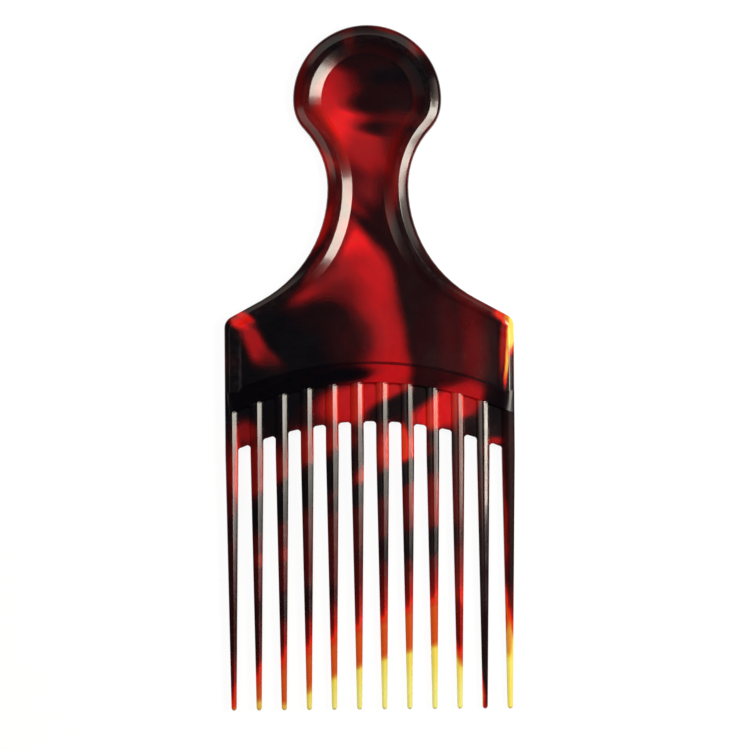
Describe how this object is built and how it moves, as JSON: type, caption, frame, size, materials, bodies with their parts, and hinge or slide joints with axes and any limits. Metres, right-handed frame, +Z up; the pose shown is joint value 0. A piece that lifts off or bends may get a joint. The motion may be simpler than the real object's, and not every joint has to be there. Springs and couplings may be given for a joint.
{
  "type": "afro pick",
  "caption": "Flat moulded pick comb with a round-headed, waisted handle, a raised rim round a sunk panel, an arched comb back and a row of long straight tapered teeth for lifting hair.",
  "frame": {"origin": "on the surface that the pick lies on, under the middle of its length and width", "axes": "+X across the pick, +Y from the tooth tips to the round head, +Z up out of the front face"},
  "size_m": [0.0718, 0.17, 0.0044],
  "materials": {
    "dark_plastic": "polished, translucent tortoiseshell, mostly black and dark red",
    "red_plastic": "polished, translucent tortoiseshell, mostly bright red",
    "tooth_plastic": "polished, translucent tortoiseshell, red and black running to amber and yellow at the tips"
  },
  "bodies": {
    "root": {"handle_rim": "dark_plastic", "handle_panel": "red_plastic", "comb_back": "dark_plastic", "tooth_web": "red_plastic", "tooth_01": "tooth_plastic", "tooth_02": "tooth_plastic", "tooth_03": "tooth_plastic", "tooth_04": "tooth_plastic", "tooth_05": "tooth_plastic", "tooth_06": "tooth_plastic", "tooth_07": "tooth_plastic", "tooth_08": "tooth_plastic", "tooth_09": "tooth_plastic", "tooth_10": "tooth_plastic", "tooth_11": "tooth_plastic", "tooth_12": "tooth_plastic"}
  },
  "joints": []
}
